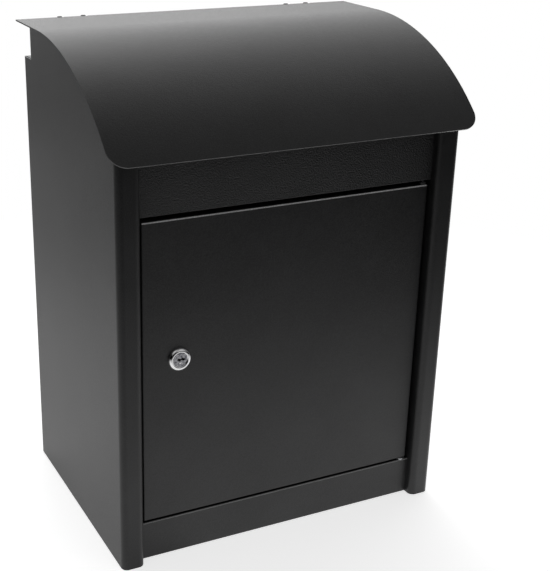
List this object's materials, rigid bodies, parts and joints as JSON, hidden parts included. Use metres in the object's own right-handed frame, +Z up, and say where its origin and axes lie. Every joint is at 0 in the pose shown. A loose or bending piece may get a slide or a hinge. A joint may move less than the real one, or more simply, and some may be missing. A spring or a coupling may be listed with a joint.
{
  "type": "parcel drop box",
  "caption": "Sheet steel parcel drop box with a curved lid hinged at the rear, a lid-linked guard tray, and a lockable front door below a fixed fascia.",
  "frame": {"origin": "floor level, under the centre of the overall box, lid overhang included", "axes": "+X to the right seen from the front, +Y to the rear, +Z up"},
  "size_m": [0.424, 0.305, 0.5554],
  "materials": {
    "black_powder_coat": "fine-texture satin powder coat",
    "sand_powder_coat": "coarse sand-texture powder coat",
    "zinc_steel": "bright zinc plate",
    "lock_chrome": "polished",
    "lock_steel": "satin nickel",
    "nylon": "black moulded",
    "black_rubber": "matte"
  },
  "bodies": {
    "cabinet": {"side_panel_left": "black_powder_coat", "side_panel_right": "black_powder_coat", "back_panel": "black_powder_coat", "hinge_rail": "black_powder_coat", "floor_panel": "black_powder_coat", "fascia_panel": "sand_powder_coat", "plinth_panel": "black_powder_coat", "hinge_bracket_left": "black_powder_coat", "hinge_bracket_right": "black_powder_coat", "hinge_rivets": "zinc_steel", "tray_rod_bracket_left": "zinc_steel", "tray_rod_bracket_right": "zinc_steel", "tray_bracket_rivets": "zinc_steel", "tray_rod": "zinc_steel", "tray_rod_spacers": "zinc_steel", "tray_rod_clips": "zinc_steel", "door_pin_upper": "zinc_steel", "door_pin_lower": "zinc_steel", "door_washer": "zinc_steel", "lid_bumpers": "black_rubber", "door_buffers": "black_rubber"},
    "lid": {"lid_panel": "black_powder_coat", "lid_hinge_leaf_left": "black_powder_coat", "lid_hinge_leaf_right": "black_powder_coat", "lid_hinge_pin_left": "zinc_steel", "lid_hinge_pin_right": "zinc_steel", "lid_link_bracket_left": "black_powder_coat", "lid_link_bracket_right": "black_powder_coat", "lid_link_pins": "zinc_steel"},
    "link_left": {"link_arm_left": "zinc_steel"},
    "link_right": {"link_arm_right": "zinc_steel"},
    "tray": {"guard_tray": "black_powder_coat", "tray_link_pins": "zinc_steel"},
    "door": {"door_panel": "black_powder_coat", "door_bush_upper": "nylon", "door_bush_lower": "nylon", "lock_housing": "lock_chrome", "lock_nut": "zinc_steel"},
    "lock": {"lock_plug": "lock_steel", "lock_cam": "zinc_steel", "lock_cam_screw": "zinc_steel"}
  },
  "joints": [
    {"name": "lid_hinge", "type": "hinge", "parent": "cabinet", "child": "lid", "pos_m": [0, 0.142, 0.5516], "axis": [-1, 0, 0], "range_deg": [0, 70]},
    {"name": "tray_hinge", "type": "hinge", "parent": "cabinet", "child": "tray", "pos_m": [0, 0.1345, 0.4536], "axis": [-1, 0, 0], "range_deg": [0, 70]},
    {"name": "link_left_pivot", "type": "hinge", "parent": "lid", "child": "link_left", "pos_m": [-0.1645, 0.09451, 0.51175], "axis": [1, 0, 0], "range_deg": [0, 70]},
    {"name": "link_right_pivot", "type": "hinge", "parent": "lid", "child": "link_right", "pos_m": [0.1645, 0.09451, 0.51175], "axis": [1, 0, 0], "range_deg": [0, 70]},
    {"name": "door_hinge", "type": "hinge", "parent": "cabinet", "child": "door", "pos_m": [0.166, -0.1182, 0.21982], "axis": [0, 0, 1], "range_deg": [0, 100]},
    {"name": "lock_turn", "type": "hinge", "parent": "door", "child": "lock", "pos_m": [-0.1289, -0.1232, 0.23692], "axis": [0, 1, 0], "range_deg": [0, 90]}
  ],
  "couplings": [
    {"joint": "tray_hinge", "follows": "lid_hinge", "ratio": 1},
    {"joint": "link_left_pivot", "follows": "lid_hinge", "ratio": 1},
    {"joint": "link_right_pivot", "follows": "lid_hinge", "ratio": 1}
  ]
}
